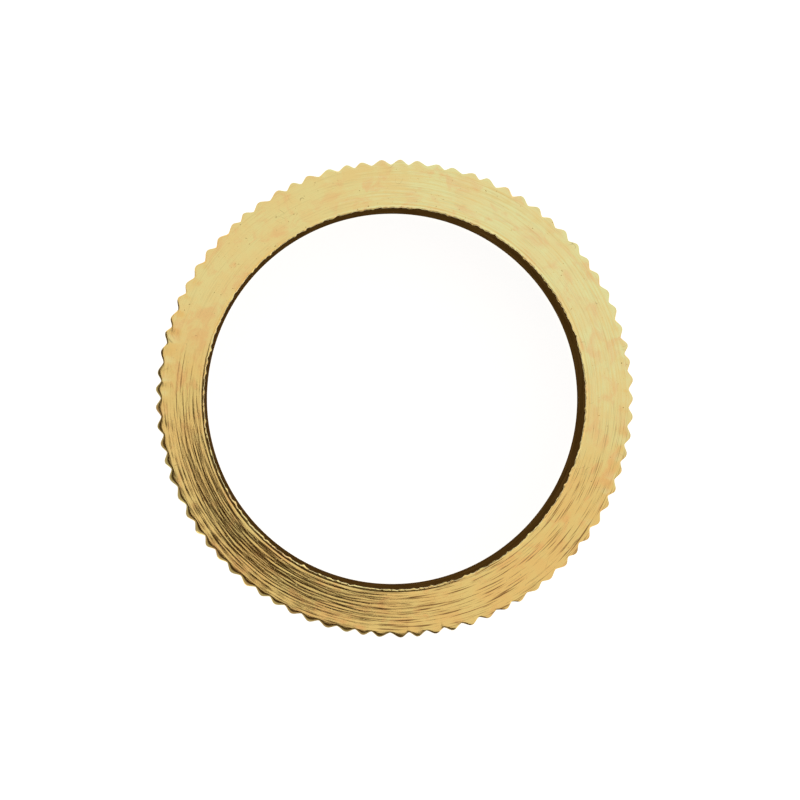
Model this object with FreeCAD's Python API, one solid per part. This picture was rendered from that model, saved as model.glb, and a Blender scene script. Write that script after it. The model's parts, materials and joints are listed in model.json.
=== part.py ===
import FreeCAD, Part
import math
import os

# A brass row counter worn on the finger: two numbered wheels turn on a sleeve, between knurled rims.
#
# Millimetres. The ring lies on the flat rear face of its nut. Z is the ring's axis, z = 0 is that
# face, and the front rim's face is at the top. The line where the count is read is on the -Y side.

# Overall sizes
bore_radius = 10.3
sleeve_wall = 0.85
wheel_wall = 1.25
wheel_width = 2.4
rim_width = 1.5
rim_rise = 0.14
edge_break = 0.08

# Straight knurl on both rims
knurl_pitch = 1.0
knurl_depth = 0.32
knurl_tip_width = 0.16
knurl_root_width = 0.10

# Fits
running_clearance = 0.05
end_clearance = 0.03
washer_clearance = 0.03
key_clearance = 0.05

# Reading ring between the wheels, and the diamond let into it
reading_ring_width = 1.0
reading_ring_rise = 0.13
diamond_width = 0.72
diamond_length = 1.05

# Thrust washers and the wave spring behind them
washer_thickness = 0.15
washer_edge_inset = 0.25
wave_spring_height = 0.30
wave_spring_strip = 0.12
wave_count = 3
wave_spring_inset = 0.35

# Keyway along the sleeve and the tongues that run in it
keyway_width = 1.0
keyway_depth = 0.35

# Detent springs: an open ring of flat strip under each wheel, with two humps
strip_thickness = 0.22
strip_width = 0.70
strip_sink = 0.05
strip_floor_gap = 0.02
groove_side_clearance = 0.04
hump_height = 0.18
hump_radius = 0.42
hump_fillet = 0.40
notch_depth = 0.24
notch_radius = 0.70
land_half_angle = 8.0
spring_end_gap_angle = 2.0

# Ring nut thread
thread_pitch = 0.50
thread_depth = 0.27
thread_root_width = 0.06
thread_half_angle = 30.0
thread_clearance = 0.02
ridge_start = 0.30
sleeve_ridge_sink = 0.03
nut_ridge_sink = 0.10

# Lock screw in the nut
screw_radius = 0.45
screw_clearance = 0.02
screw_length = 1.15
screw_slot_width = 0.18
screw_slot_depth = 0.25
screw_tip_gap = 0.03

# Numerals: one cutter path each, filled with enamel
digit_count = 10
numeral_height = 2.20
numeral_width = 1.20
stroke_width = 0.26
engraving_depth = 0.22
enamel_recess = 0.03

# Finger flutes between the numerals
flutes_per_gap = 4
flute_pitch = 0.90
flute_radius = 0.34
flute_depth = 0.14

# Radii that follow
sleeve_radius = bore_radius + sleeve_wall
wheel_bore_radius = sleeve_radius + running_clearance
wheel_radius = wheel_bore_radius + wheel_wall
knurl_root_radius = wheel_radius + rim_rise
knurl_tip_radius = knurl_root_radius + knurl_depth
knurl_count = round(2 * math.pi * knurl_tip_radius / knurl_pitch)
washer_inner_radius = sleeve_radius + washer_clearance
washer_outer_radius = wheel_radius - washer_edge_inset
reading_ring_radius = wheel_radius + reading_ring_rise
keyway_floor_radius = sleeve_radius - keyway_depth
tongue_tip_radius = keyway_floor_radius + key_clearance
tongue_width = keyway_width - 2 * key_clearance
strip_radius = sleeve_radius - strip_sink - strip_thickness / 2
groove_floor_radius = strip_radius - strip_thickness / 2 - strip_floor_gap
thread_root_radius = sleeve_radius - thread_depth
nut_ridge_radius = thread_root_radius + 2 * thread_clearance
nut_groove_radius = sleeve_radius + 2 * thread_clearance

# Heights that follow, from the rear face up
nut_top = rim_width
thread_end = nut_top + wave_spring_height / 2
rear_washer_bottom = nut_top + wave_spring_height
ones_wheel_bottom = rear_washer_bottom + washer_thickness + end_clearance
ones_inner_washer_bottom = ones_wheel_bottom + wheel_width + end_clearance
reading_ring_bottom = ones_inner_washer_bottom + washer_thickness
tens_inner_washer_bottom = reading_ring_bottom + reading_ring_width
tens_wheel_bottom = tens_inner_washer_bottom + washer_thickness + end_clearance
front_washer_bottom = tens_wheel_bottom + wheel_width + end_clearance
front_rim_bottom = front_washer_bottom + washer_thickness
ring_width = front_rim_bottom + rim_width

# Directions round the axis, in degrees
reading_angle = -90.0
land_angle = reading_angle + 180.0
screw_angle = reading_angle + 180.0
hump_angles = (reading_angle - 90.0, reading_angle + 90.0)
digit_step = 360.0 / digit_count

axis = FreeCAD.Vector(0, 0, 1)
origin = FreeCAD.Vector(0, 0, 0)
beyond = 1.0


def polar(radius, angle, height=0.0):
    """A point at a radius, an angle in degrees and a height."""
    turn = math.radians(angle)
    return FreeCAD.Vector(radius * math.cos(turn), radius * math.sin(turn), height)


def ring(inner, outer, bottom, height):
    """A plain ring on the axis."""
    base = FreeCAD.Vector(0, 0, bottom)
    return Part.makeCylinder(outer, height, base).cut(Part.makeCylinder(inner, height, base))


def turned(shape, angle):
    """A copy of the shape turned about the axis."""
    copy = shape.copy()
    copy.rotate(origin, axis, angle)
    return copy


def around(shape, count, start=0.0):
    """Copies of the shape, evenly spaced about the axis."""
    return [turned(shape, start + 360.0 * place / count) for place in range(count)]


def knurled_disc(bottom, height):
    """A disc whose edge is a straight knurl of blunt teeth."""
    step = 360.0 / knurl_count
    half_tip = math.degrees(knurl_tip_width / knurl_tip_radius) / 2
    half_root = math.degrees(knurl_root_width / knurl_root_radius) / 2
    outline = []
    for tooth in range(knurl_count):
        middle = tooth * step
        outline.append(polar(knurl_root_radius, middle - step / 2 + half_root, bottom))
        outline.append(polar(knurl_tip_radius, middle - half_tip, bottom))
        outline.append(polar(knurl_tip_radius, middle + half_tip, bottom))
        outline.append(polar(knurl_root_radius, middle + step / 2 - half_root, bottom))
    outline.append(outline[0])
    return Part.Face(Part.makePolygon(outline)).extrude(axis * height)


def countersink(radius, size, face_height, upwards):
    """The cutter for a 45 degree chamfer round a bore, at the face where the bore comes out."""
    if upwards:
        return Part.makeCone(radius, radius + size, size, FreeCAD.Vector(0, 0, face_height - size))
    return Part.makeCone(radius + size, radius, size, FreeCAD.Vector(0, 0, face_height))


def helical_solid(inner_radius, inner_width, outer_radius, outer_width, bottom, length):
    """A screw-shaped solid with a trapezium for its section, on the helix that passes +X at z = 0."""
    corners = [
        FreeCAD.Vector(inner_radius, 0, -inner_width / 2),
        FreeCAD.Vector(outer_radius, 0, -outer_width / 2),
        FreeCAD.Vector(outer_radius, 0, outer_width / 2),
        FreeCAD.Vector(inner_radius, 0, inner_width / 2),
    ]
    section = Part.makePolygon(corners + corners[:1])
    path = Part.Wire(Part.makeHelix(thread_pitch, length, inner_radius).Edges)
    body = path.makePipeShell([section], True, True)
    if body.Volume < 0:
        body.reverse()
    body.translate(FreeCAD.Vector(0, 0, bottom))
    return turned(body, 360.0 * bottom / thread_pitch)


def groove_width_at(radius):
    """How wide the groove between the turns of the sleeve's thread is at a radius."""
    flank = math.tan(math.radians(thread_half_angle))
    return thread_root_width + 2 * flank * (radius - thread_root_radius)


def sleeve_thread_ridge():
    """The sleeve's thread: a ridge on its thinner rear end, half a turn away from the nut's."""
    inside = thread_root_radius - sleeve_ridge_sink
    width_inside = thread_pitch - groove_width_at(inside)
    width_outside = thread_pitch - groove_width_at(sleeve_radius)
    length = thread_end - thread_pitch / 2 - ridge_start
    ridge = helical_solid(inside, width_inside, sleeve_radius, width_outside, ridge_start, length)
    return turned(ridge, 180.0)


def nut_thread_ridge():
    """The nut's thread: a ridge in the sleeve's groove, with clearance all round and blunt ends."""
    outside = nut_groove_radius + nut_ridge_sink
    width_inside = groove_width_at(nut_ridge_radius) - 2 * thread_clearance
    width_outside = groove_width_at(outside) - 2 * thread_clearance
    length = rim_width - 2 * ridge_start
    return helical_solid(nut_ridge_radius, width_inside, outside, width_outside, ridge_start, length)


def radial_box(width, inner, outer, bottom, height, angle):
    """A block that lies along a radius, from one radius to another."""
    block = Part.makeBox(outer - inner, width, height, FreeCAD.Vector(inner, -width / 2, bottom))
    return turned(block, angle)


def detent_groove(middle):
    """The groove that a detent spring lies in. The land left in it stops the spring turning."""
    width = strip_width + 2 * groove_side_clearance
    outside = sleeve_radius + beyond
    full = ring(groove_floor_radius, outside, middle - width / 2, width)
    edge = polar(2 * outside, land_half_angle)
    far = polar(2 * outside, -land_half_angle)
    wedge = Part.Face(Part.makePolygon([origin, far, edge, origin])).extrude(axis * 2 * width)
    wedge.translate(FreeCAD.Vector(0, 0, middle - width))
    return full.cut(turned(wedge, land_angle))


def finger_sleeve():
    """The sleeve that the finger goes through, in one piece with the front knurled rim."""
    core = ring(bore_radius, thread_root_radius, 0, ring_width)
    within = Part.makeCylinder(bore_radius + sleeve_wall / 3, ring_width + beyond)
    journal = Part.makeCylinder(sleeve_radius, ring_width - thread_end, FreeCAD.Vector(0, 0, thread_end))
    rim = knurled_disc(front_rim_bottom, rim_width)
    body = core.multiFuse([journal.cut(within), rim.cut(within)]).removeSplitter()
    body = body.fuse(sleeve_thread_ridge())
    keyway_height = front_rim_bottom + beyond
    cutters = [
        countersink(bore_radius, edge_break, ring_width, True),
        countersink(bore_radius, edge_break, 0, False),
        detent_groove(ones_wheel_bottom + wheel_width / 2),
        detent_groove(tens_wheel_bottom + wheel_width / 2),
        radial_box(
            keyway_width, keyway_floor_radius, sleeve_radius + beyond, -beyond, keyway_height, reading_angle
        ),
    ]
    for cutter in cutters:
        body = body.cut(cutter)
    return body


def ring_nut():
    """The rear knurled rim: a ring nut on the sleeve's thread, with a hole for its lock screw."""
    body = knurled_disc(0, rim_width)
    body = body.cut(Part.makeCylinder(nut_groove_radius, rim_width))
    body = body.fuse(nut_thread_ridge())
    hole = Part.makeCylinder(
        screw_radius + screw_clearance, knurl_tip_radius, FreeCAD.Vector(0, 0, rim_width / 2),
        FreeCAD.Vector(1, 0, 0),
    )
    return body.cut(turned(hole, screw_angle))


def lock_screw():
    """A slotted headless screw, sunk below the knurl, that bears on the sleeve's thread."""
    tip = sleeve_radius + screw_tip_gap
    middle = FreeCAD.Vector(tip, 0, rim_width / 2)
    body = Part.makeCylinder(screw_radius, screw_length, middle, FreeCAD.Vector(1, 0, 0))
    head = tip + screw_length
    slot = Part.makeBox(
        screw_slot_depth, screw_slot_width, 2 * screw_radius,
        FreeCAD.Vector(head - screw_slot_depth, -screw_slot_width / 2, rim_width / 2 - screw_radius),
    )
    return turned(body.cut(slot), screw_angle)


def with_tongue(body, bottom, height):
    """Adds the tongue that runs in the sleeve's keyway, so that the piece can't turn."""
    overlap = tongue_width
    tongue = radial_box(
        tongue_width, tongue_tip_radius, washer_inner_radius + overlap, bottom, height, reading_angle
    )
    return body.fuse(tongue).removeSplitter()


def thrust_washer(bottom):
    """A thin keyed washer that a wheel rubs on."""
    body = ring(washer_inner_radius, washer_outer_radius, bottom, washer_thickness)
    return with_tongue(body, bottom, washer_thickness)


def wave_spring():
    """A wavy strip ring that keeps the stack pressed together."""
    inner = washer_inner_radius
    outer = wheel_radius - wave_spring_inset
    swing = (wave_spring_height - wave_spring_strip) / 2 - end_clearance / 2
    middle = nut_top + wave_spring_height / 2

    def wavy_edge(radius, lift):
        points = []
        steps = 16 * wave_count
        for step in range(steps):
            angle = 360.0 * step / steps
            height = middle + lift + swing * math.cos(math.radians(wave_count * angle))
            points.append(polar(radius, angle, height))
        curve = Part.BSplineCurve()
        curve.interpolate(Points=points, PeriodicFlag=True)
        return curve.toShape()

    half = wave_spring_strip / 2
    corners = [wavy_edge(inner, -half), wavy_edge(outer, -half), wavy_edge(outer, half), wavy_edge(inner, half)]
    faces = [Part.makeRuledSurface(corners[side], corners[(side + 1) % 4]) for side in range(4)]
    shell = Part.Shell([face for ruled in faces for face in ruled.Faces])
    body = Part.Solid(shell)
    if body.Volume < 0:
        body.reverse()
    return body


def arc(centre, radius, start, end):
    """An arc between two angles in degrees, which may run either way."""
    middle = (start + end) / 2
    points = [centre + polar(radius, angle) for angle in (start, middle, end)]
    return Part.Arc(*points).toShape()


def strip_side(offset):
    """One side of a detent spring's outline, at an offset outwards from its middle line."""
    crest = wheel_bore_radius + hump_height - strip_thickness / 2 - hump_radius
    foot = strip_radius + hump_fillet
    reach = hump_radius + hump_fillet
    cosine = (foot**2 + crest**2 - reach**2) / (2 * foot * crest)
    half_span = math.degrees(math.acos(cosine))
    lean = math.degrees(math.asin(foot * math.sin(math.radians(half_span)) / reach))
    edges = []
    angle = land_angle - 360.0 + land_half_angle + spring_end_gap_angle
    last = land_angle - land_half_angle - spring_end_gap_angle
    for hump_angle in hump_angles:
        edges.append(arc(origin, strip_radius + offset, angle, hump_angle - half_span))
        before = polar(foot, hump_angle - half_span)
        after = polar(foot, hump_angle + half_span)
        inwards = hump_angle + 180.0
        edges.append(arc(before, hump_fillet - offset, inwards - half_span, inwards - lean))
        edges.append(arc(polar(crest, hump_angle), hump_radius + offset, hump_angle - lean, hump_angle + lean))
        edges.append(arc(after, hump_fillet - offset, inwards + lean, inwards + half_span))
        angle = hump_angle + half_span
    edges.append(arc(origin, strip_radius + offset, angle, last))
    return edges


def detent_spring(middle):
    """A flat strip ring, open at the land, with two humps that rise into the wheel's notches."""
    outside = strip_side(strip_thickness / 2)
    inside = strip_side(-strip_thickness / 2)
    first = Part.makeLine(inside[0].Vertexes[0].Point, outside[0].Vertexes[0].Point)
    last = Part.makeLine(inside[-1].Vertexes[-1].Point, outside[-1].Vertexes[-1].Point)
    outline = Part.Wire(Part.__sortEdges__(outside + inside + [first, last]))
    body = Part.Face(outline).extrude(axis * strip_width)
    body.translate(FreeCAD.Vector(0, 0, middle - strip_width / 2))
    return body


def reading_ring():
    """The fixed ring between the wheels, keyed to the sleeve and engraved with the reading diamond."""
    body = ring(washer_inner_radius, reading_ring_radius, reading_ring_bottom, reading_ring_width)
    body = with_tongue(body, reading_ring_bottom, reading_ring_width)
    return body.cut(diamond(reading_ring_radius + beyond))


def diamond(outer):
    """The reading diamond, from the floor of its engraving out to a radius."""
    floor = reading_ring_radius - engraving_depth
    middle = reading_ring_bottom + reading_ring_width / 2
    corners = [
        FreeCAD.Vector(0, -diamond_length / 2, middle),
        FreeCAD.Vector(0, 0, middle - diamond_width / 2),
        FreeCAD.Vector(0, diamond_length / 2, middle),
        FreeCAD.Vector(0, 0, middle + diamond_width / 2),
    ]
    prism = Part.Face(Part.makePolygon(corners + corners[:1])).extrude(FreeCAD.Vector(2 * outer, 0, 0))
    band = ring(floor, outer, reading_ring_bottom, reading_ring_width)
    return turned(prism.common(band), reading_angle)


def straight(start, end):
    """One straight cut of the engraving cutter, from one (across, up) point to another."""
    return ("straight", start, end)


def curved(centre, radius, start, end):
    """One curved cut, anticlockwise between two angles."""
    return ("curved", centre, radius, start, end)


def numeral_paths(digit):
    """The cutter's path for a numeral, centred on (0, 0), across and up."""
    half = numeral_width / 2
    top = numeral_height / 2
    bowl = top - half
    small = 0.22 * numeral_height
    large = 0.28 * numeral_height
    quarter = numeral_height / 4
    stem_bend = 1.6 * numeral_width
    if digit == 0:
        return [
            curved((0, bowl), half, 0, 180),
            curved((0, -bowl), half, 180, 360),
            straight((-half, bowl), (-half, -bowl)),
            straight((half, bowl), (half, -bowl)),
        ]
    if digit == 1:
        return [straight((0, -top), (0, top)), straight((0, top), (-0.75 * half, top - 0.75 * half))]
    if digit == 2:
        leave = math.radians(-35)
        bend = (half * math.cos(leave), bowl + half * math.sin(leave))
        return [
            curved((0, bowl), half, -35, 165),
            straight(bend, (-half, -top)),
            straight((-half, -top), (half, -top)),
        ]
    if digit == 3:
        return [curved((0, quarter), quarter, -90, 150), curved((0, -quarter), quarter, -150, 90)]
    if digit == 4:
        return [
            straight((0.3 * half, top), (-half, -0.35 * top)),
            straight((-half, -0.35 * top), (half, -0.35 * top)),
            straight((0.45 * half, 0.15 * top), (0.45 * half, -top)),
        ]
    if digit == 5:
        turn = math.radians(140)
        corner = (half * math.cos(turn), -bowl + half * math.sin(turn))
        return [
            straight((0.8 * half, top), (corner[0], top)),
            straight((corner[0], top), corner),
            curved((0, -bowl), half, -150, 140),
        ]
    if digit == 7:
        return [straight((-half, top), (half, top)), straight((half, top), (-0.3 * half, -top))]
    if digit == 8:
        return [curved((0, top - small), small, 0, 360), curved((0, -top + large), large, 0, 360)]
    reach = math.degrees(math.asin((top + bowl) / stem_bend))
    if digit == 6:
        return [
            curved((0, -bowl), half, 0, 360),
            curved((-half + stem_bend, -bowl), stem_bend, 180 - reach, 180),
        ]
    return [
        curved((0, bowl), half, 0, 360),
        curved((half - stem_bend, bowl), stem_bend, -reach, 0),
    ]


def cutter_track(cut, depth):
    """The solid that one cut of a round-nosed cutter sweeps, extruded along +X."""
    along = FreeCAD.Vector(depth, 0, 0)
    half = stroke_width / 2

    def place(across, up):
        return FreeCAD.Vector(0, up, -across)

    def end_round(point):
        return Part.makeCylinder(half, depth, place(*point), FreeCAD.Vector(1, 0, 0))

    if cut[0] == "straight":
        (x0, y0), (x1, y1) = cut[1], cut[2]
        length = math.hypot(x1 - x0, y1 - y0)
        sx = -(y1 - y0) / length * half
        sy = (x1 - x0) / length * half
        corners = [
            place(x0 + sx, y0 + sy), place(x1 + sx, y1 + sy), place(x1 - sx, y1 - sy), place(x0 - sx, y0 - sy)
        ]
        track = Part.Face(Part.makePolygon(corners + corners[:1])).extrude(along)
        return [track, end_round(cut[1]), end_round(cut[2])]
    _, (cx, cy), radius, start, end = cut
    centre = place(cx, cy)
    outer = Part.makeCylinder(radius + half, depth, centre, FreeCAD.Vector(1, 0, 0))
    inner = Part.makeCylinder(radius - half, depth, centre, FreeCAD.Vector(1, 0, 0))
    track = outer.cut(inner)
    if end - start >= 360:
        return [track]
    reach = 4 * (radius + half)
    steps = 8
    fan = [centre]
    for step in range(steps + 1):
        angle = math.radians(start + (end - start) * step / steps)
        fan.append(place(cx + reach * math.cos(angle), cy + reach * math.sin(angle)))
    sector = Part.Face(Part.makePolygon(fan + fan[:1])).extrude(along)
    ends = []
    for angle in (math.radians(start), math.radians(end)):
        ends.append(end_round((cx + radius * math.cos(angle), cy + radius * math.sin(angle))))
    return [track.common(sector)] + ends


def numeral(digit, bottom, outer):
    """A numeral on a wheel, from the floor of its engraving out to a radius, at the +X side."""
    tracks = []
    for cut in numeral_paths(digit):
        tracks += cutter_track(cut, 2 * outer)
    shape = tracks[0].multiFuse(tracks[1:])
    shape.translate(FreeCAD.Vector(0, 0, bottom + wheel_width / 2))
    band = ring(wheel_radius - engraving_depth, outer, bottom, wheel_width)
    near_side = Part.makeBox(
        2 * outer, 4 * outer, wheel_width, FreeCAD.Vector(0, -2 * outer, bottom)
    )
    return shape.common(band).common(near_side).removeSplitter()


def numerals(bottom, outer):
    """All the numerals of a wheel, rising the way that the wheel turns to count up."""
    placed = []
    for digit in range(digit_count):
        shape = turned(numeral(digit, bottom, outer), reading_angle - digit * digit_step)
        placed += shape.Solids
    return placed


def finger_flutes(bottom):
    """Cutters for the shallow flutes between the numerals."""
    centre = wheel_radius + flute_radius - flute_depth
    cutters = []
    for gap in range(digit_count):
        middle = reading_angle + (gap + 0.5) * digit_step
        for place in range(flutes_per_gap):
            step = place - (flutes_per_gap - 1) / 2
            angle = middle + math.degrees(step * flute_pitch / wheel_radius)
            cutters.append(Part.makeCylinder(flute_radius, wheel_width, polar(centre, angle, bottom)))
    return cutters


def number_wheel(bottom):
    """A wheel with engraved numerals, finger flutes, and detent notches along its bore."""
    body = ring(wheel_bore_radius, wheel_radius, bottom, wheel_width)
    notch = Part.makeCylinder(
        notch_radius, wheel_width, polar(wheel_bore_radius + notch_depth - notch_radius, 0, bottom)
    )
    body = body.cut(Part.makeCompound(around(notch, digit_count, hump_angles[0])))
    body = body.cut(Part.makeCompound(finger_flutes(bottom)))
    return body.cut(Part.makeCompound(numerals(bottom, wheel_radius + beyond)))


def numeral_enamel(bottom):
    """The enamel that fills a wheel's numerals, a little below its surface."""
    return Part.makeCompound(numerals(bottom, wheel_radius - enamel_recess))


def all_parts():
    """Every piece, by name."""
    return {
        "finger_sleeve": finger_sleeve(),
        "front_thrust_washer": thrust_washer(front_washer_bottom),
        "tens_wheel": number_wheel(tens_wheel_bottom),
        "tens_numeral_enamel": numeral_enamel(tens_wheel_bottom),
        "tens_detent_spring": detent_spring(tens_wheel_bottom + wheel_width / 2),
        "tens_inner_washer": thrust_washer(tens_inner_washer_bottom),
        "reading_ring": reading_ring(),
        "reading_diamond_enamel": diamond(reading_ring_radius - enamel_recess),
        "ones_inner_washer": thrust_washer(ones_inner_washer_bottom),
        "ones_wheel": number_wheel(ones_wheel_bottom),
        "ones_numeral_enamel": numeral_enamel(ones_wheel_bottom),
        "ones_detent_spring": detent_spring(ones_wheel_bottom + wheel_width / 2),
        "rear_thrust_washer": thrust_washer(rear_washer_bottom),
        "wave_spring": wave_spring(),
        "ring_nut": ring_nut(),
        "lock_screw": lock_screw(),
    }


os.makedirs("parts", exist_ok=True)
for name, shape in all_parts().items():
    print(f"{name}: {len(shape.Solids)} solids, {shape.Volume:.3f} mm3, valid {shape.isValid()}")
    shape.exportStep(f"parts/{name}.step")
print(f"width {ring_width:.2f}, diameter {2 * knurl_tip_radius:.2f}, {knurl_count} knurl teeth")
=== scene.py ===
import bmesh
import bpy
import json
import math
import random
from mathutils import Matrix, Vector, noise


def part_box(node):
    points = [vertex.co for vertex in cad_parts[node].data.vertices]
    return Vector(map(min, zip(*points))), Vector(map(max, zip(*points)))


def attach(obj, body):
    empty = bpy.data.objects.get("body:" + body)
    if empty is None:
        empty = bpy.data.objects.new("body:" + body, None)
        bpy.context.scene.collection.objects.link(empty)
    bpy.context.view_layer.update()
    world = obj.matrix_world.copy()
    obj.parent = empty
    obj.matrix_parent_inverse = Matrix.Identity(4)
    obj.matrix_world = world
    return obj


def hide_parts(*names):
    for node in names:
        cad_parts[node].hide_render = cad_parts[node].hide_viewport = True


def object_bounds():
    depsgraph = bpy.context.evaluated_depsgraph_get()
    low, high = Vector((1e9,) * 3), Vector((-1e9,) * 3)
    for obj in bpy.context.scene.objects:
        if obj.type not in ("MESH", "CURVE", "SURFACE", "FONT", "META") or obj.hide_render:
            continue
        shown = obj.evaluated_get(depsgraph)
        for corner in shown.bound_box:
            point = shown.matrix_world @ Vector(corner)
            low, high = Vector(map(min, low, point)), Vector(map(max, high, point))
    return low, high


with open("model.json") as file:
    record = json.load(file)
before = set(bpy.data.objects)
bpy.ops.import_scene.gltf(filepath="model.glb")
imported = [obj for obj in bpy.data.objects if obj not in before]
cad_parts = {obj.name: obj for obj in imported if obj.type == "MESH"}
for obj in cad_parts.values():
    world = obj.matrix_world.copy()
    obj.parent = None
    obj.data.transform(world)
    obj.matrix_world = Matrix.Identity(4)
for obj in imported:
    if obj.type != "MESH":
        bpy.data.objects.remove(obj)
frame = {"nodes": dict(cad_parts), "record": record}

mm = 0.001
fullTurn = 2 * math.pi
cadLow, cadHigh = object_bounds()
mounts = {m["name"]: m for m in frame["record"]["mounts"]}

# places that the frame gives
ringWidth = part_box("finger_sleeve")[1].z
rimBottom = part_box("front_thrust_washer")[1].z
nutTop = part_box("ring_nut")[1].z
boreRadius = mounts["finger_bore"]["dims"]["r_mm"] * mm
rimRadius = (cadHigh.y - cadLow.y) / 2
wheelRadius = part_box("ones_wheel")[1].x
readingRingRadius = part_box("reading_ring")[1].x
rimAcross = 2 * rimRadius
print("frame loaded: ring", round(ringWidth / mm, 2), "mm wide, rims", round(rimAcross / mm, 2), "mm across")


# Materials

def addNode(material, kind):
    return material.node_tree.nodes.new(kind)


def mathNode(material, operation, first, second=None, third=None):
    node = addNode(material, "ShaderNodeMath")
    node.operation = operation
    for place, value in enumerate((first, second, third)):
        if value is None:
            continue
        if isinstance(value, (int, float)):
            node.inputs[place].default_value = value
        else:
            material.node_tree.links.new(value, node.inputs[place])
    return node.outputs[0]


def product(material, first, second):
    return mathNode(material, "MULTIPLY", first, second)


def mixColour(material, amount, first, second):
    node = addNode(material, "ShaderNodeMix")
    node.data_type = "RGBA"
    # the mix node's colour sockets are its seventh and eighth
    for socket, value in zip((node.inputs["Factor"], *node.inputs[6:8]), (amount, first, second)):
        if isinstance(value, (int, float, tuple)):
            socket.default_value = value
        else:
            material.node_tree.links.new(value, socket)
    return node.outputs[2]


def spread(material, value, low, high, newLow=0.0, newHigh=1.0):
    node = addNode(material, "ShaderNodeMapRange")
    node.interpolation_type = "SMOOTHSTEP"
    material.node_tree.links.new(value, node.inputs["Value"])
    node.inputs["From Min"].default_value = low
    node.inputs["From Max"].default_value = high
    node.inputs["To Min"].default_value = newLow
    node.inputs["To Max"].default_value = newHigh
    return node.outputs["Result"]


def noiseNode(material, vector, scale, detail, roughness=0.55, distortion=0.0):
    node = addNode(material, "ShaderNodeTexNoise")
    material.node_tree.links.new(vector, node.inputs["Vector"])
    node.inputs["Scale"].default_value = scale
    node.inputs["Detail"].default_value = detail
    node.inputs["Roughness"].default_value = roughness
    node.inputs["Distortion"].default_value = distortion
    return node.outputs["Fac"]


def turningCoordinates(material, radial=1.0):
    # distance across the tool marks, and the direction round the axis with no seam
    link = material.node_tree.links.new
    place = addNode(material, "ShaderNodeTexCoord")
    parts = addNode(material, "ShaderNodeSeparateXYZ")
    link(place.outputs["Object"], parts.inputs[0])
    x, y, z = parts.outputs
    squared = mathNode(material, "ADD", product(material, x, x), product(material, y, y))
    radius = mathNode(material, "SQRT", squared)
    across = mathNode(material, "MULTIPLY_ADD", radius, radial, z)
    cosine = mathNode(material, "DIVIDE", x, radius)
    sine = mathNode(material, "DIVIDE", y, radius)
    return place.outputs["Object"], across, cosine, sine


def markVector(material, across, cosine, sine, pitch, sweep):
    # stretched noise: fine across the marks, long round the axis
    node = addNode(material, "ShaderNodeCombineXYZ")
    for socket, value in zip(
        node.inputs,
        (
            mathNode(material, "DIVIDE", across, pitch),
            product(material, cosine, sweep),
            product(material, sine, sweep),
        ),
    ):
        material.node_tree.links.new(value, socket)
    return node.outputs[0]


def newMaterial(name):
    material = bpy.data.materials.new(name)
    material.use_nodes = True
    material.node_tree.nodes.clear()
    shader = addNode(material, "ShaderNodeBsdfPrincipled")
    out = addNode(material, "ShaderNodeOutputMaterial")
    material.node_tree.links.new(shader.outputs[0], out.inputs[0])
    return material, shader


turnedBrass = {
    "gold": (0.800, 0.640, 0.265, 1),
    "pale": (0.780, 0.695, 0.300, 1),
    "copper": (0.800, 0.550, 0.235, 1),
    # dark colour for grime, pits and scratches, and for the painted shade on one side of the face
    "tarnishAndPaintedShade": (0.200, 0.110, 0.035, 1),
    "patch": (0.75 * mm, 9.0),      # size across the tool marks, and how quickly it changes round the turn
    "streak": (0.11 * mm, 7.0),
    "fine": (0.045 * mm, 12.0),
    "dirt": (0.052 * mm, 5.5),
    "radial": 1.0,                  # 0 where the marks run at one height whatever the radius
    "cloudScale": 640.0,            # the scales are in waves a metre
    "paleRange": (0.36, 0.64),
    "redRange": (0.48, 0.70),
    "redness": 0.85,
    "rustStreaks": (0.56, 0.68),
    "rustClouds": (0.46, 0.62),
    "rust": 0.45,
    "dirtRange": (0.33, 0.46),
    "grime": 0.10,
    "paintedShadeSide": math.radians(-60),   # the side where the tool marks are darkened further as painted shade, on top of the grime in them
    "paintedShadeRange": (0.45, 0.98),
    "paintedShadeAmount": 0.85,
    "roughness": 0.090,
    "roughnessSpread": (0.8, 1.25),
    "anisotropy": 0.0,
    "streakDepth": 0.0022 * mm,
    "fineDepth": 0.0007 * mm,
    "tangleScale": 520.0,
    "bareScale": 900.0,
    "bareRange": (0.58, 0.66),
    "scratchWidth": 0.0045,
    "scratch": 0.55,
    "speckScale": 7000.0,
    "pitShare": 0.715,
    "pitTone": 0.75,
    "pitRoughness": 0.3,
    "pitDepth": 0.008 * mm,
}


def addBump(material, shader, height):
    bump = addNode(material, "ShaderNodeBump")
    bump.inputs["Strength"].default_value = 1.0
    bump.inputs["Distance"].default_value = 1.0
    material.node_tree.links.new(height, bump.inputs["Height"])
    material.node_tree.links.new(bump.outputs[0], shader.inputs["Normal"])


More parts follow.
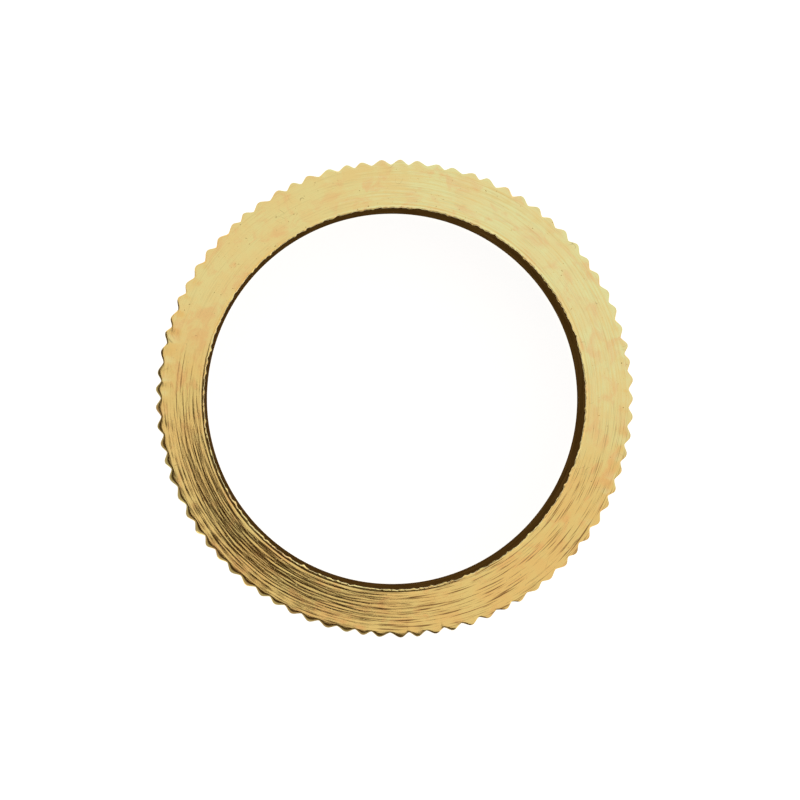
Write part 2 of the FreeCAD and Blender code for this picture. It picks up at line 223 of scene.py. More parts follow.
def brass(name, look):
    material, shader = newMaterial(name)
    link = material.node_tree.links.new
    place, across, cosine, sine = turningCoordinates(material, look["radial"])

    def marks(kind, *detail):
        return noiseNode(material, markVector(material, across, cosine, sine, *look[kind]), 1.0, *detail)

    fine = marks("fine", 2.0)
    streak = marks("streak", 3.0, 0.6)
    patch = marks("patch", 3.0, 0.6, 0.6)
    dirt = marks("dirt", 2.0, 0.6)
    cloud = noiseNode(material, place, look["cloudScale"], 4.0, 0.62)
    tangle = noiseNode(material, place, look["tangleScale"], 1.0, 0.5, 1.2)
    bare = noiseNode(material, place, look["bareScale"], 1.0)
    speck = noiseNode(material, place, look["speckScale"], 2.0, 0.5)

    # scratches run where the tangled noise crosses its middle
    offLine = mathNode(material, "ABSOLUTE", mathNode(material, "SUBTRACT", tangle, 0.5))
    onLine = spread(material, offLine, 0.0, look["scratchWidth"], 1.0, 0.0)
    scratch = product(material, onLine, spread(material, bare, *look["bareRange"]))
    pits = spread(material, speck, look["pitShare"], look["pitShare"] + 0.05)

    base = mixColour(material, spread(material, cloud, *look["paleRange"]), look["gold"], look["pale"])
    red = product(material, spread(material, patch, *look["redRange"]), look["redness"])
    base = mixColour(material, red, base, look["copper"])
    rustStreaks = spread(material, streak, *look["rustStreaks"])
    rust = product(material, rustStreaks, spread(material, cloud, *look["rustClouds"]))
    base = mixColour(material, product(material, rust, look["rust"]), base, look["copper"])

    # grime fills the tool marks everywhere, and on one side the marks are darkened further as painted shade
    facing = mathNode(
        material, "MULTIPLY_ADD", sine, math.sin(look["paintedShadeSide"]),
        product(material, cosine, math.cos(look["paintedShadeSide"])),
    )
    mostGrimeAndShade = look["grime"] + look["paintedShadeAmount"]
    grimeAndPaintedShade = spread(material, facing, *look["paintedShadeRange"], look["grime"], mostGrimeAndShade)
    marked = spread(material, dirt, *look["dirtRange"], 1.0, 0.0)
    base = mixColour(material, product(material, marked, grimeAndPaintedShade), base, look["tarnishAndPaintedShade"])
    base = mixColour(material, product(material, pits, look["pitTone"]), base, look["tarnishAndPaintedShade"])
    base = mixColour(material, product(material, scratch, look["scratch"]), base, look["tarnishAndPaintedShade"])
    link(base, shader.inputs["Base Color"])
    shader.inputs["Metallic"].default_value = 1.0

    least, most = (share * look["roughness"] for share in look["roughnessSpread"])
    rough = spread(material, patch, 0.3, 0.7, least, most)
    rough = mathNode(material, "ADD", rough, product(material, pits, look["pitRoughness"]))
    link(rough, shader.inputs["Roughness"])
    if look["anisotropy"]:
        shader.inputs["Anisotropic"].default_value = look["anisotropy"]
        shader.inputs["Anisotropic Rotation"].default_value = 0.25
        tangent = addNode(material, "ShaderNodeTangent")
        tangent.direction_type, tangent.axis = "RADIAL", "Z"
        link(tangent.outputs[0], shader.inputs["Tangent"])

    height = mathNode(
        material, "ADD",
        product(material, fine, look["fineDepth"]),
        product(material, streak, look["streakDepth"]),
    )
    height = mathNode(material, "SUBTRACT", height, product(material, pits, look["pitDepth"]))
    addBump(material, shader, height)
    return material


# colours for the bore's inside wall, which is painted dark as shade
boreLook = {
    "dark": (0.070, 0.034, 0.007, 1),
    "warm": (0.170, 0.095, 0.024, 1),
    "marks": (0.22 * mm, 3.0),
    "markDepth": 0.006 * mm,
    "stainScale": 700.0,
    "roughness": 0.62,
}


# painted shade: a dark brown colour with no reflection stands for the shade and dark reflections inside the
# bore; warmer streaks follow the turning marks
def paintedShadeBore(name, look):
    material, shader = newMaterial(name)
    place, across, cosine, sine = turningCoordinates(material)
    vector = markVector(material, across, cosine, sine, *look["marks"])
    marks = noiseNode(material, vector, 1.0, 3.0, 0.6)
    stain = noiseNode(material, place, look["stainScale"], 4.0, 0.6)
    amount = product(material, spread(material, marks, 0.35, 0.70), spread(material, stain, 0.30, 0.70))
    colour = mixColour(material, amount, look["dark"], look["warm"])
    material.node_tree.links.new(colour, shader.inputs["Base Color"])
    shader.inputs["Metallic"].default_value = 0.0
    shader.inputs["Roughness"].default_value = look["roughness"]
    shader.inputs["Specular IOR Level"].default_value = 0.0
    addBump(material, shader, product(material, marks, look["markDepth"]))
    return material


enamelLook = {
    "black": (0.012, 0.012, 0.013, 1),
    "red": (0.42, 0.018, 0.012, 1),
    "grainScale": 5200.0,
    "grainDepth": 0.010 * mm,
    "roughness": (0.22, 0.48),
}


def enamel(name, colour):
    material, shader = newMaterial(name)
    link = material.node_tree.links.new
    place = addNode(material, "ShaderNodeTexCoord").outputs["Object"]
    grain = noiseNode(material, place, enamelLook["grainScale"], 4.0, 0.6)
    worn = tuple(0.5 * c + 0.05 for c in colour[:3]) + (1,)
    link(mixColour(material, spread(material, grain, 0.45, 0.75), colour, worn), shader.inputs["Base Color"])
    link(spread(material, grain, 0.3, 0.7, *enamelLook["roughness"]), shader.inputs["Roughness"])
    shader.inputs["Specular IOR Level"].default_value = 0.35
    addBump(material, shader, product(material, grain, enamelLook["grainDepth"]))
    return material


nylonLook = {
    "shade": (0.78, 0.74, 0.62, 1),
    "light": (0.86, 0.84, 0.76, 1),
    "cloudScale": 1500.0,
    "roughness": (0.42, 0.6),
    "subsurface": 0.15,
    "subsurfaceReach": 0.3 * mm,
}


def nylon(name):
    material, shader = newMaterial(name)
    link = material.node_tree.links.new
    place = addNode(material, "ShaderNodeTexCoord").outputs["Object"]
    cloud = noiseNode(material, place, nylonLook["cloudScale"], 4.0, 0.6)
    link(mixColour(material, cloud, nylonLook["shade"], nylonLook["light"]), shader.inputs["Base Color"])
    link(spread(material, cloud, 0.3, 0.7, *nylonLook["roughness"]), shader.inputs["Roughness"])
    shader.inputs["Subsurface Weight"].default_value = nylonLook["subsurface"]
    shader.inputs["Subsurface Scale"].default_value = nylonLook["subsurfaceReach"]
    return material


steelLook = {
    "springTone": 0.58,
    "screwTone": 0.42,
    "marks": (0.05 * mm, 3.0),
    "markDepth": 0.003 * mm,
    "roughness": (0.22, 0.38),
}


def rolledSteel(name, tone):
    material, shader = newMaterial(name)
    link = material.node_tree.links.new
    place, across, cosine, sine = turningCoordinates(material)
    vector = markVector(material, across, cosine, sine, *steelLook["marks"])
    marks = noiseNode(material, vector, 1.0, 3.0, 0.6)
    light = tuple(tone * c for c in (1.0, 1.0, 1.02)) + (1,)
    dark = tuple(0.7 * tone * c for c in (1.0, 0.98, 0.95)) + (1,)
    link(mixColour(material, spread(material, marks, 0.35, 0.65), light, dark), shader.inputs["Base Color"])
    shader.inputs["Metallic"].default_value = 1.0
    link(spread(material, marks, 0.3, 0.7, *steelLook["roughness"]), shader.inputs["Roughness"])
    addBump(material, shader, product(material, marks, steelLook["markDepth"]))
    return material


faceBrass = brass("faceBrass", turnedBrass)
sideBrass = {
    **turnedBrass,
    "gold": (0.700, 0.520, 0.195, 1),
    "pale": (0.700, 0.575, 0.230, 1),
    "copper": (0.680, 0.435, 0.170, 1),
    "radial": 0.0,
    "streakDepth": 0.0006 * mm,
    "fineDepth": 0.0004 * mm,
    "dirt": (0.40 * mm, 1.6),
    # a little painted shade on one side of the knurl and wheels
    "paintedShadeAmount": 0.12,
}
knurlBrass = brass("knurlBrass", {**sideBrass, "grime": 0.30, "roughness": 0.20})
wheelBrass = brass("wheelBrass", {**sideBrass, "grime": 0.14, "roughness": 0.16, "anisotropy": 0.5})
boreBrownPaintedShade = paintedShadeBore("boreBrownPaintedShade", boreLook)
blackEnamel = enamel("blackEnamel", enamelLook["black"])
redEnamel = enamel("redEnamel", enamelLook["red"])
washerNylon = nylon("washerNylon")
springSteel = rolledSteel("springSteel", steelLook["springTone"])
screwSteel = rolledSteel("screwSteel", steelLook["screwTone"])
print("materials made")


# Turned shapes

sectors = 9


def addPiece(name, mesh):
    data = bpy.data.meshes.new(name)
    mesh.to_mesh(data)
    mesh.free()
    piece = bpy.data.objects.new(name, data)
    bpy.context.scene.collection.objects.link(piece)
    return piece


def turnRows(name, rows, columns, place, materials, materialOf):
    # rows are (zone, share, radius, height) round one closed section, and
    # place puts each spun vertex where it belongs
    mesh = bmesh.new()
    rowLayer = mesh.verts.layers.int.new("row")
    section = []
    for index, (zone, share, radius, height) in enumerate(rows):
        vertex = mesh.verts.new((radius, 0, height))
        vertex[rowLayer] = index
        section.append(vertex)
    edges = [mesh.edges.new((section[i], section[(i + 1) % len(section)])) for i in range(len(section))]
    # one sector is spun, and the rest of the turn is copies of it, because a long spin is slow
    axis = {"cent": (0, 0, 0), "axis": (0, 0, 1)}
    bmesh.ops.spin(
        mesh, geom=section + edges, angle=fullTurn / sectors, steps=columns // sectors, **axis
    )
    bmesh.ops.spin(
        mesh, geom=mesh.verts[:] + mesh.edges[:] + mesh.faces[:],
        angle=fullTurn * (sectors - 1) / sectors, steps=sectors - 1, use_duplicate=True, **axis
    )
    bmesh.ops.remove_doubles(mesh, verts=mesh.verts, dist=0.0005 * mm)
    step = fullTurn / columns
    for vertex in mesh.verts:
        column = round(math.atan2(vertex.co.y, vertex.co.x) / step) % columns
        vertex.co = place(rows[vertex[rowLayer]], vertex[rowLayer], column)
    for facet in mesh.faces:
        indices = sorted({vertex[rowLayer] for vertex in facet.verts})
        facet.material_index = materialOf(rows[indices[0]][0], rows[indices[-1]][0])
        facet.smooth = True
    bmesh.ops.recalc_face_normals(mesh, faces=mesh.faces)
    piece = addPiece(name, mesh)
    for material in materials:
        piece.data.materials.append(material)
    return piece


def sharpenEdges(piece, degrees):
    piece.data.set_sharp_from_angle(angle=math.radians(degrees))


def cutWith(piece, cutter):
    # subtracts one closed mesh from another, then throws the cutter away
    change = piece.modifiers.new("cut", "BOOLEAN")
    change.operation = "DIFFERENCE"
    change.solver = "MANIFOLD"
    change.object = cutter
    bpy.context.view_layer.update()
    result = bpy.data.meshes.new_from_object(piece.evaluated_get(bpy.context.evaluated_depsgraph_get()))
    piece.modifiers.clear()
    old = piece.data
    piece.data = result
    bpy.data.meshes.remove(old)
    bpy.data.objects.remove(cutter)


smoothing = {
    "nudge": math.radians(0.05),     # how far inside its own face a corner's normal is taken
    "reach": math.radians(0.02),     # how far either side the outline's slope is measured
    "outward": 0.5,                  # how squarely a face looks outwards, to count as outside
    "tilt": 0.15,
    "untouched": 0.3 * mm,           # below the outside, where the shading stays as it was
}


def smoothOutside(piece, profile, lowest):
    # long faces beside a cut shade badly, so the outer surface's normals come from the piece's own outline
    data = piece.data
    before = [Vector(corner.vector) for corner in data.corner_normals]
    nudge, reach = smoothing["nudge"], smoothing["reach"]
    normals = []
    for facet in data.polygons:
        middle = facet.center
        radius, turn = math.hypot(middle.x, middle.y), math.atan2(middle.y, middle.x)
        radial = Vector((math.cos(turn), math.sin(turn), 0))
        outside = radius > lowest and facet.normal.dot(radial) > smoothing["outward"]
        outside = outside and abs(facet.normal.z) < smoothing["tilt"]
        for corner in facet.loop_indices:
            if not outside:
                inside = radius < lowest - smoothing["untouched"]
                normals.append(before[corner] if inside else facet.normal.copy())
                continue
            place = data.vertices[data.loops[corner].vertex_index].co
            angle = math.atan2(place.y, place.x)
            angle += max(-nudge, min(nudge, math.remainder(turn - angle, fullTurn)))
            slope = (profile(angle + reach) - profile(angle - reach)) / (2 * reach)
            across = Vector((math.cos(angle), math.sin(angle), 0)) * profile(angle)
            normals.append((across - Vector((-math.sin(angle), math.cos(angle), 0)) * slope).normalized())
    data.normals_split_custom_set(normals)


def ease(value):
    value = max(0.0, min(1.0, value))
    return value * value * (3 - 2 * value)


def ripple(angle, seed, beats):
    # smooth repeatable unevenness round the ring, from -1 to 1
    return noise.noise(Vector((beats * math.cos(angle), beats * math.sin(angle), seed)))


knurl = {
    "teeth": 81,
    "columnsPerTooth": 10,
    "depth": 0.275 * mm,
    "wander": 0.11,          # how far a tip leans aside, in teeth
    "heightSpread": 0.22,    # how much lower a poorly rolled tooth is
    "rootSpread": 0.16,      # how much shallower a poorly rolled root is
    "flatTip": 0.10,
    "roundness": 0.55,       # 0 for straight flanks, 1 for a smooth wave
    "droop": 0.008 * mm,     # how far the face rolls over at a tip
    "wornDroop": 0.045 * mm,    # and how much further on the worn side
    "wornSide": math.radians(-138),
    "burr": 0.02 * mm,       # how far a burred tip stands out beside the face
    "waviness": 0.006 * mm,
    "tuck": 0.012 * mm,      # how far the flank's ends are drawn in
    "backTuck": 0.03 * mm,
    "brow": 0.07 * mm,       # where the rolling over starts, inside the roots
    "edge": 0.05 * mm,
}

face = {
    "rings": 56,
    "lean": 2.8,             # the face's slope at the bore, in degrees
    "flattening": 0.4,       # the share of that slope lost by the knurl
    "feedHeight": 0.0011 * mm,
    "edgeBreak": 0.030 * mm,
    "lipHeight": 0.008 * mm,
    "lipAt": 0.03 * mm,
    "lipWidth": 0.025 * mm,
    "raggedness": 0.120 * mm,       # how uneven the bore's edge is
    "raggedReach": 0.07 * mm,
    "grooveDepth": 0.007 * mm,
    "grooveAt": 0.16 * mm,
    "grooveWidth": 0.03 * mm,
    "boreWaviness": 0.003 * mm,
    "rolledRipple": 0.0070 * mm,    # metal that the knurl tool pushed up beside each root
    "rippleReach": 0.75 * mm,
}

sleeve = {
    "wall": 0.85 * mm,
    "threadDepth": 0.27 * mm,
    "threadEnd": 1.65 * mm,
    "springGroove": (0.29 * mm, 0.39 * mm),   # depth, half the width
    "fillet": (0.05 * mm, 0.02 * mm),         # outwards and downwards, under the rim
    "endBreak": 0.06 * mm,
    "endBore": (0.10 * mm, 0.09 * mm),
}

columns = knurl["teeth"] * knurl["columnsPerTooth"]
rootRadius = rimRadius - knurl["depth"]


def knurlTips(seed):
    draw = random.Random(seed)
    lean = [draw.uniform(-knurl["wander"], knurl["wander"]) for tooth in range(knurl["teeth"])]
    height = [1 - knurl["heightSpread"] * draw.random() ** 2 for tooth in range(knurl["teeth"])]
    burr = [draw.random() ** 2 for tooth in range(knurl["teeth"])]
    root = [knurl["rootSpread"] * draw.random() ** 2 for tooth in range(knurl["teeth"])]
    return lean, height, burr, root


def knurlAt(column, tips):
    # the outline at a column: its turn in columns, its radius, how near a tip it is, and that tip's burr
    lean, height, burr, root = tips
    count, perTooth = knurl["teeth"], knurl["columnsPerTooth"]
    tooth, along = divmod(column, perTooth)
    share = along / perTooth
    after = (tooth + 1) % count
    turn = column + perTooth * ((1 - share) * lean[tooth] + share * lean[after])
    nearest = tooth if share < 0.5 else after
    rise = abs(1 - 2 * share)
    rise = min(1.0, rise / (1 - knurl["flatTip"]))
    rise += knurl["roundness"] * (ease(rise) - rise)
    outline = rootRadius + knurl["depth"] * (root[tooth] * (1 - rise) + height[nearest] * rise)
    return turn, outline, rise, burr[nearest]


def faceFall(radius):
    # the turned face isn't quite flat: it falls away towards the knurl
    width = rootRadius - boreRadius
    share = (radius - boreRadius) / width
    return width * math.tan(math.radians(face["lean"])) * (share - face["flattening"] * share ** 3 / 3)


def faceMarks(radius, ring, angle, seed, rise, burr):
    # how far the tool marks and the rolled metal stand off the face
    # long and short feed marks, each ring's drawn from its own place in the noise
    feed = 2.0 * ripple(angle, seed + 0.55 * ring, 6.0) + 1.3 * ripple(angle, seed + 50 + 1.3 * ring, 10.0)
    fromBore = radius - boreRadius
    lip = face["lipHeight"] * math.exp(-((fromBore - face["lipAt"]) / face["lipWidth"]) ** 2)
    lip *= 0.5 + ripple(angle, 5.0, 90)
    groove = -face["grooveDepth"] * math.exp(-((fromBore - face["grooveAt"]) / face["grooveWidth"]) ** 2)
    reach = ease(1 - (rootRadius - radius) / face["rippleReach"])
    rolled = face["rolledRipple"] * reach * ((1 - rise) * (0.4 + burr) + 0.8 * ripple(angle, 2.0, 20))
    return face["feedHeight"] * feed + lip + groove + rolled


def tipDroop(angle):
    # the tips on one side are worn more than the rest
    worn = max(0.0, math.cos(angle - knurl["wornSide"])) ** 3
    return knurl["droop"] + knurl["wornDroop"] * worn


def knurledRows(outward, faceHeight, backHeight, innerRadius):
    # the rows from the bore's edge across the turned face, over the knurl, and back under the rim
    edge, brow = face["edgeBreak"], rootRadius - knurl["brow"]
    rows = []
    for ring in range(face["rings"]):
        share = ring / (face["rings"] - 1)
        rows.append(("face", share, innerRadius + edge + share * (brow - innerRadius - edge), faceHeight))
    for share in (0.2, 0.4, 0.6, 0.8, 0.93, 1.0):
        rows.append(("brow", share, brow + share * 2 * knurl["brow"], faceHeight))
    start = faceHeight - outward * (faceFall(rimRadius) + knurl["edge"])
    end = backHeight + outward * knurl["edge"]
    for share in (0.0, 0.08, 0.35, 0.65, 0.94, 1.0):
        rows.append(("flank", share, rimRadius, start + share * (end - start)))
    for share in (1.0, 0.5, 0.0):
        rows.append(("back", share, brow + share * 2 * knurl["brow"], backHeight))
    return rows


def rimPlacer(outward, faceHeight, seed):
    tips = knurlTips(seed)
    brow = rootRadius - knurl["brow"]

    def place(row, index, column):
        zone, share, radius, height = row
        turn, outline, rise, burr = knurlAt(column, tips)
        angle = fullTurn * column / columns
        if zone in ("face", "brow", "flank", "back"):
            pull = ease((radius - boreRadius) / (brow - boreRadius))
            angle += pull * fullTurn * (turn - column) / columns
        ragged = face["raggedness"] * ripple(angle, 11.0, 45)
        ragged *= math.exp((boreRadius - radius) / face["raggedReach"])
        if zone == "face":
            radius += ragged
            height += outward * (faceMarks(radius, index, angle, seed, rise, burr) - faceFall(radius))
        elif zone == "brow":
            radius = brow + share * (outline - brow)
            roll = share ** 3 * (0.35 + 0.65 * rise) * (0.7 + 0.6 * burr)
            marked = faceMarks(brow, face["rings"] - 1, angle, seed, rise, burr) * (1 - share)
            height += outward * (marked - faceFall(radius) - tipDroop(angle) * roll)
        elif zone == "flank":
            lift = (1 - ease(share / 0.3)) * knurl["burr"] * burr * rise
            radius = outline + lift + knurl["waviness"] * ripple(angle, 4.0 + height / mm, 60)
            if share in (0.0, 1.0):
                radius -= knurl["tuck"]
            if share == 0.0:
                height -= outward * tipDroop(angle)
        elif zone == "back":
            radius = brow + share * (outline - knurl["backTuck"] - brow)
        elif zone == "bore":
            radius += face["boreWaviness"] * ripple(angle, height / mm, 4)
            if height > faceHeight - 3 * face["edgeBreak"] and outward > 0:
                radius += 0.6 * ragged
        elif zone == "edge":
            radius += ragged
        return Vector((radius * math.cos(angle), radius * math.sin(angle), height))

    return place


def rimMaterial(first, last):
    if first == "bore" and last == "bore":
        return 2
    if "flank" in (first, last):
        return 1
    return 0


def makeFingerSleeve():
    edge = face["edgeBreak"]
    outer = boreRadius + sleeve["wall"]
    threaded = outer - sleeve["threadDepth"]
    depth, half = sleeve["springGroove"]
    endWidth, endHeight = sleeve["endBore"]
    rows = knurledRows(1, ringWidth, rimBottom, boreRadius)
    rows.append(("sleeve", 0, outer + sleeve["fillet"][0], rimBottom))
    rows.append(("sleeve", 0, outer, rimBottom - sleeve["fillet"][1]))
    for wheel in ("tens_wheel", "ones_wheel"):
        low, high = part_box(wheel)
        middle = (low.z + high.z) / 2
        for radius, height in (
            (outer, middle + half), (outer - depth, middle + half),
            (outer - depth, middle - half), (outer, middle - half),
        ):
            rows.append(("sleeve", 0, radius, height))
    rows.append(("sleeve", 0, outer, sleeve["threadEnd"]))
    rows.append(("sleeve", 0, threaded, sleeve["threadEnd"]))
    rows.append(("sleeve", 0, threaded, sleeve["endBreak"]))
    rows.append(("sleeve", 0, threaded - sleeve["endBreak"], 0.0))
    rows.append(("sleeve", 0, boreRadius + endWidth, 0.0))
    for share in (0.0, 0.01, 0.25, 0.5, 0.75, 0.9, 0.97):
        rows.append(("bore", 0, boreRadius, endHeight + share * (ringWidth - endHeight)))
    rows.append(("bore", 0, boreRadius, ringWidth - 2 * edge))
    rows.append(("edge", 0, boreRadius + 0.2 * edge, ringWidth - 0.8 * edge))
    rows.append(("edge", 0, boreRadius + 0.6 * edge, ringWidth - 0.2 * edge))
    place = rimPlacer(1, ringWidth, 12)
    piece = turnRows("fingerSleeve", rows, columns, place, (faceBrass, knurlBrass, boreBrownPaintedShade), rimMaterial)
    sharpenEdges(piece, 38)
    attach(piece, "frame")
    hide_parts("finger_sleeve")
    return piece


nut = {
    "threadClearance": 0.04 * mm,
    "outerRelief": 0.01 * mm,
    "holeClearance": 0.02 * mm,
    "holeMiddle": 0.9 * mm,      # inside the rim
    "holeLength": 2.6 * mm,
    "holeSegments": 48,
}


def screwHole():
    mesh = bmesh.new()
    low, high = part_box("lock_screw")
    radius = (high.x - low.x) / 2 + nut["holeClearance"]
    middle = Vector((0, rimRadius - nut["holeMiddle"], (low.z + high.z) / 2))
    turn = Matrix.Translation(middle) @ Matrix.Rotation(math.pi / 2, 4, "X")
    bmesh.ops.create_cone(
        mesh, cap_ends=True, segments=nut["holeSegments"], radius1=radius, radius2=radius,
        depth=nut["holeLength"], matrix=turn,
    )
    return addPiece("screwHole", mesh)


def makeRingNut():
    inner = boreRadius + sleeve["wall"] - sleeve["threadDepth"] + nut["threadClearance"]
    lead = sleeve["threadDepth"]
    rows = knurledRows(-1, 0.0, nutTop, inner + lead)
    rows.append(("bore", 0, inner + lead, nutTop))
    rows.append(("bore", 0, inner, nutTop - lead))
    rows.append(("bore", 0, inner, lead))
    rows.append(("edge", 0, inner + lead, nut["outerRelief"]))
    place = rimPlacer(-1, 0.0, 31)
    piece = turnRows("ringNut", rows, columns, place, (faceBrass, knurlBrass, boreBrownPaintedShade), rimMaterial)
    cutWith(piece, screwHole())
    sharpenEdges(piece, 38)
    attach(piece, "frame")
    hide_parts("ring_nut")
    return piece


makeFingerSleeve()
makeRingNut()
print("rims and sleeve made")


# Number wheels and the reading ring

wheel = {
    "columns": 1080,
    "digits": 10,
    "flutes": 4,
    "flutePitch": 0.90 * mm,
    "fluteRadius": 0.34 * mm,
    "fluteDepth": 0.14 * mm,
    "wall": 1.25 * mm,
    "notchDepth": 0.24 * mm,
    "notchRadius": 0.70 * mm,
    "edge": 0.09 * mm,
    "enamelTop": 0.09 * mm,      # how deep the enamel's outer surface can lie
    "cutterRise": 0.2 * mm,
}


def circularDip(distance, radius, depth):
    # how deep a round-nosed cut is at a distance from its middle
    half = math.sqrt(max(0.0, 2 * radius * depth - depth * depth))
    if abs(distance) >= half:
        return 0.0
    return math.sqrt(radius * radius - distance * distance) - (radius - depth)


def engravingCutter(node, outer):
    # the enamel's own shape, pushed out through the wheel's surface
    mesh = bmesh.new()
    mesh.from_mesh(frame["nodes"][node].data)
    bmesh.ops.remove_doubles(mesh, verts=mesh.verts, dist=1e-7)
    for vertex in mesh.verts:
        radius = math.hypot(vertex.co.x, vertex.co.y)
        if radius > outer - wheel["enamelTop"]:
            vertex.co.x *= (outer + wheel["cutterRise"]) / radius
            vertex.co.y *= (outer + wheel["cutterRise"]) / radius
    return addPiece("engraving", mesh)


def ringRows(inner, outer, low, high, edge):
    rows = []
    for share in (0, 0.3, 0.7, 1):
        turn = math.pi / 2 * share
        rows.append(("outer", 1, outer - edge + edge * math.cos(turn), high - edge + edge * math.sin(turn)))
    rows.append(("inner", 1, inner + edge, high))
    rows.append(("inner", 0, inner, high - edge))
    rows.append(("inner", 0, inner, low + edge))
    rows.append(("inner", 1, inner + edge, low))
    for share in (1, 0.7, 0.3, 0):
        turn = math.pi / 2 * share
        rows.append(("outer", 1, outer - edge + edge * math.cos(turn), low + edge - edge * math.sin(turn)))
    return rows


def makeWheel(name, node, enamelNode, body):
    low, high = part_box(node)
    rows = ringRows(wheelRadius - wheel["wall"], wheelRadius, low.z, high.z, wheel["edge"])
    gap = fullTurn / wheel["digits"]

    def outline(angle):
        radius = wheelRadius
        along = ((angle + math.pi / 2) % gap - gap / 2) * wheelRadius
        for flute in range(wheel["flutes"]):
            middle = (flute - (wheel["flutes"] - 1) / 2) * wheel["flutePitch"]
            radius -= circularDip(along - middle, wheel["fluteRadius"], wheel["fluteDepth"])
        return radius

    def place(row, index, column):
        zone, share, radius, height = row
        angle = fullTurn * column / wheel["columns"]
        if zone == "outer":
            radius += outline(angle) - wheelRadius
        elif share == 0:
            fromNotch = (angle + gap / 2) % gap - gap / 2
            radius += circularDip(fromNotch * radius, wheel["notchRadius"], wheel["notchDepth"])
        return Vector((radius * math.cos(angle), radius * math.sin(angle), height))

    piece = turnRows(name, rows, wheel["columns"], place, (wheelBrass,), lambda first, last: 0)
    cutWith(piece, engravingCutter(enamelNode, wheelRadius))
    sharpenEdges(piece, 32)
    smoothOutside(piece, outline, wheelRadius - wheel["fluteDepth"] - 0.03 * mm)
    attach(piece, body)
    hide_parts(node)
    return piece


def makeReadingRing():
    low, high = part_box("reading_ring")
    inner = wheelRadius - wheel["wall"]
    rows = ringRows(inner, readingRingRadius, low.z, high.z, wheel["edge"])

    def place(row, index, column):
        zone, share, radius, height = row
        angle = fullTurn * column / wheel["columns"]
        return Vector((radius * math.cos(angle), radius * math.sin(angle), height))

    piece = turnRows("readingRing", rows, wheel["columns"], place, (wheelBrass,), lambda first, last: 0)
    cutWith(piece, engravingCutter("reading_diamond_enamel", readingRingRadius))
    sharpenEdges(piece, 32)
    smoothOutside(piece, lambda angle: readingRingRadius, readingRingRadius - 0.04 * mm)
    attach(piece, "frame")
    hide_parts("reading_ring")
    return piece


makeWheel("tensWheel", "tens_wheel", "tens_numeral_enamel", "tens")
makeWheel("onesWheel", "ones_wheel", "ones_numeral_enamel", "ones")
makeReadingRing()
print("wheels and reading ring made")


# The frame's own pieces get their finishes

finishes = {
    "front_thrust_washer": washerNylon,
    "tens_inner_washer": washerNylon,
    "ones_inner_washer": washerNylon,
    "rear_thrust_washer": washerNylon,
    "tens_numeral_enamel": blackEnamel,
    "ones_numeral_enamel": blackEnamel,
    "reading_diamond_enamel": redEnamel,
    "tens_detent_spring": springSteel,
    "ones_detent_spring": springSteel,
    "wave_spring": springSteel,
    "lock_screw": screwSteel,
}
for node, material in finishes.items():
    slots = frame["nodes"][node].data.materials
    slots.clear()
    slots.append(material)
print("finishes set")


# Floor, light and camera

stage = {
    "floorSize": 6.0,
    "floorColour": (0.36, 0.36, 0.355, 1),
    "floorGlow": 0.90,
    "overheadTone": (0.055, 0.030, 0.010, 1),    # the dark gap beside the overhead softbox
    "roomTone": (0.50, 0.44, 0.37, 1),
    "horizonTone": (0.92, 0.92, 0.91, 1),
    "horizonRise": (0.10, 0.34),        # the upward shares over which each tone gives way to the next
    "overheadRise": (0.90, 0.975),
}


def makeFloor():
    mesh = bmesh.new()
    bmesh.ops.create_grid(mesh, x_segments=2, y_segments=2, size=stage["floorSize"] / 2)
    floor = addPiece("floor", mesh)
    material, shader = newMaterial("paleFloor")
    shader.inputs["Base Color"].default_value = stage["floorColour"]
    shader.inputs["Roughness"].default_value = 0.9
    shader.inputs["Specular IOR Level"].default_value = 0.1
    shader.inputs["Emission Color"].default_value = (1, 1, 1, 1)
    shader.inputs["Emission Strength"].default_value = stage["floorGlow"]
    floor.data.materials.append(material)


def softLight(name, place, aim, size, radiance, colour):
    light = bpy.data.lights.new(name, "AREA")
    light.shape = "RECTANGLE"
    light.size, light.size_y = size
    light.energy = radiance * math.pi * size[0] * size[1]
    light.color = colour
    lamp = bpy.data.objects.new(name, light)
    lamp.location = place
    lamp.rotation_euler = (Vector(aim) - Vector(place)).to_track_quat("-Z", "Y").to_euler()
    bpy.context.scene.collection.objects.link(lamp)
    return lamp


overhead = {
    # the edge's distance is measured from the ring's axis, along the direction the softbox lies in
    "height": 0.62,
    "layerDrop": 0.02,
    "towards": math.radians(46),
    "edge": -0.071,
    "length": 0.74,
    "width": 1.20,
    "radiance": 0.90,
    "colour": (1.0, 0.83, 0.68),
}

tint = {
    # cooler layers inside the softbox: edge, length, width, direction, radiance, colour
    "second": (0.003, 0.30, 0.24, math.radians(75), 0.24, (0.01, 0.52, 1.0)),
    "third": (0.070, 0.30, 0.30, math.radians(45), 0.26, (0.01, 0.46, 1.0)),
}


sideSoftboxes = {
    "size": 0.62,
    "each": (
        ((0.75, -0.45, 0.42), 1.00, (1.0, 0.985, 0.96)),
        ((-0.55, -0.75, 0.50), 0.85, (1.0, 0.99, 0.97)),
        ((-0.75, 0.50, 0.42), 1.00, (1.0, 1.0, 0.98)),
        ((0.45, 0.80, 0.45), 1.00, (1.0, 1.0, 1.0)),
    ),
}


def overheadSoftbox(name, height, edge, length, width, towards, radiance, colour):
    reach = edge + length / 2
    middle = Vector((reach * math.cos(towards), reach * math.sin(towards), height))
    lamp = softLight(name, middle, middle - Vector((0, 0, 1)), (length, width), radiance, colour)
    lamp.rotation_euler = (0, 0, towards)


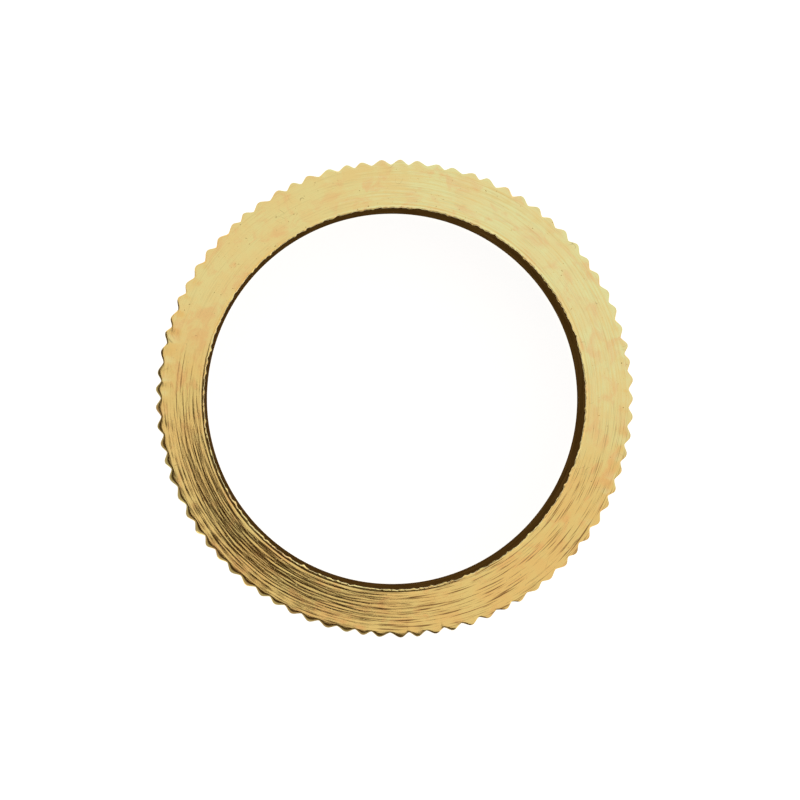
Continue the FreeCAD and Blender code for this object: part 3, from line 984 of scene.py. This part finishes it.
def makeLights():
    overheadSoftbox(
        "overheadSoftbox", overhead["height"], overhead["edge"], overhead["length"], overhead["width"],
        overhead["towards"], overhead["radiance"], overhead["colour"],
    )
    for drop, (name, layer) in enumerate(tint.items()):
        overheadSoftbox(name + "Layer", overhead["height"] - overhead["layerDrop"] * (drop + 1), *layer)
    for place, radiance, colour in sideSoftboxes["each"]:
        softLight("sideSoftbox", place, (0, 0, 0), (sideSoftboxes["size"],) * 2, radiance, colour)


def makeWorld():
    # a pale room that darkens overhead
    world = bpy.data.worlds.new("studio")
    world.use_nodes = True
    sky = world.node_tree.nodes["Background"]
    direction = addNode(world, "ShaderNodeTexCoord")
    parts = addNode(world, "ShaderNodeSeparateXYZ")
    world.node_tree.links.new(direction.outputs["Generated"], parts.inputs[0])
    rise = spread(world, parts.outputs["Z"], *stage["horizonRise"])
    room = mixColour(world, rise, stage["horizonTone"], stage["roomTone"])
    upward = spread(world, parts.outputs["Z"], *stage["overheadRise"])
    world.node_tree.links.new(mixColour(world, upward, room, stage["overheadTone"]), sky.inputs["Color"])
    sky.inputs["Strength"].default_value = 1.0
    bpy.context.scene.world = world


viewpoint = {
    "height": 307 * mm,       # above the front face
    "aside": (-5.0 * mm, -0.44 * mm),
    "aim": (0.269 * mm, -0.075 * mm),
    "frameWidth": 43.17 * mm,  # what the frame takes in at the front face
}


def makeCamera():
    lens = bpy.data.cameras.new("camera")
    camera = bpy.data.objects.new("camera", lens)
    bpy.context.scene.collection.objects.link(camera)
    target = Vector((*viewpoint["aim"], ringWidth))
    camera.location = Vector((*viewpoint["aside"], ringWidth + viewpoint["height"]))
    look = target - camera.location
    lens.lens = lens.sensor_width * look.length / viewpoint["frameWidth"]
    lens.clip_start, lens.clip_end = 0.01, 20
    forward = look.normalized()
    right = forward.cross(Vector((0, 1, 0))).normalized()
    upward = right.cross(forward)
    camera.rotation_euler = Matrix((right, upward, -forward)).transposed().to_euler()
    bpy.context.scene.camera = camera


makeFloor()
makeLights()
makeWorld()
makeCamera()
bpy.context.scene.view_settings.view_transform = "Standard"
print("stage made")
